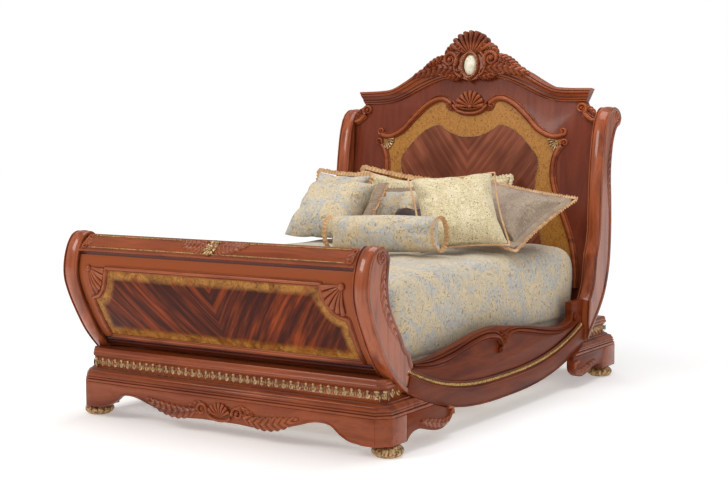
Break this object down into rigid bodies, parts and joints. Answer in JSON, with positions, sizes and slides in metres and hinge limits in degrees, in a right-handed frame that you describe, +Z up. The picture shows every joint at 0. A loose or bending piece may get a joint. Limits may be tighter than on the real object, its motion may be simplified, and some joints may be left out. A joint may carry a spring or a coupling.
{
  "type": "sleigh bed",
  "caption": "Carved mahogany sleigh bed with a C-curved footboard, bowed side rails and a scrolled headboard with a shell crest, dressed with a comforter and pillows.",
  "frame": {"origin": "on the floor at the middle of the bed's own box", "axes": "+Z up, +Y from the foot end to the head end, +X to the right seen from the foot end"},
  "size_m": [1.876, 2.742, 2.0474],
  "materials": {
    "mahogany": "polished warm red-brown mahogany",
    "flame_mahogany": "book-matched flame veneer, high gloss",
    "gilt": "antiqued gilt",
    "ivory": "polished ivory-coloured composition",
    "pine": "planed, unfinished",
    "ticking": "woven ticking",
    "blue_jacquard": "blue-grey and beige paisley jacquard",
    "cream_scroll": "cream cloth with a fine scroll figure",
    "taupe_silk": "taupe silk with a sheen",
    "brown_satin": "dark brown satin"
  },
  "bodies": {
    "root": {"foot_apron": "mahogany", "head_apron": "mahogany", "foot_corner_left": "mahogany", "foot_wing_left": "mahogany", "foot_bun_left": "gilt", "foot_corner_right": "mahogany", "foot_wing_right": "mahogany", "foot_bun_right": "gilt", "head_corner_left": "mahogany", "head_wing_left": "mahogany", "head_bun_left": "gilt", "head_corner_right": "mahogany", "head_wing_right": "mahogany", "head_bun_right": "gilt", "foot_belt_moulding": "mahogany", "foot_cap_moulding": "mahogany", "head_belt_moulding": "mahogany", "head_cap_moulding": "mahogany", "foot_stile_left": "mahogany", "foot_stile_right": "mahogany", "foot_panel": "flame_mahogany", "foot_crest_board": "mahogany", "foot_cartouche": "gilt", "head_lower_stile_left": "mahogany", "head_upper_stile_left": "mahogany", "head_lower_stile_right": "mahogany", "head_upper_stile_right": "mahogany", "headboard_panel": "flame_mahogany", "headboard_cornice": "mahogany", "crest_carving": "mahogany", "crest_cameo": "ivory", "headboard_arch_moulding": "mahogany", "headboard_side_moulding_left": "mahogany", "headboard_bracket_left": "mahogany", "headboard_side_moulding_right": "mahogany", "headboard_bracket_right": "mahogany", "side_rail_left": "mahogany", "rail_crest_left": "mahogany", "rail_cleat_left": "pine", "side_rail_right": "mahogany", "rail_crest_right": "mahogany", "rail_cleat_right": "pine", "slat_1": "pine", "slat_leg_1": "pine", "slat_2": "pine", "slat_leg_2": "pine", "slat_3": "pine", "slat_leg_3": "pine", "foundation": "ticking", "mattress": "ticking", "comforter": "blue_jacquard", "pillow_cream_back": "cream_scroll", "pillow_cream_ruffled": "cream_scroll", "pillow_blue_back": "blue_jacquard", "pillow_blue_middle": "blue_jacquard", "pillow_taupe_sham": "taupe_silk", "pillow_blue_sham": "blue_jacquard", "pillow_brown": "brown_satin", "pillow_cream_front": "cream_scroll", "bolster": "blue_jacquard"}
  },
  "joints": []
}
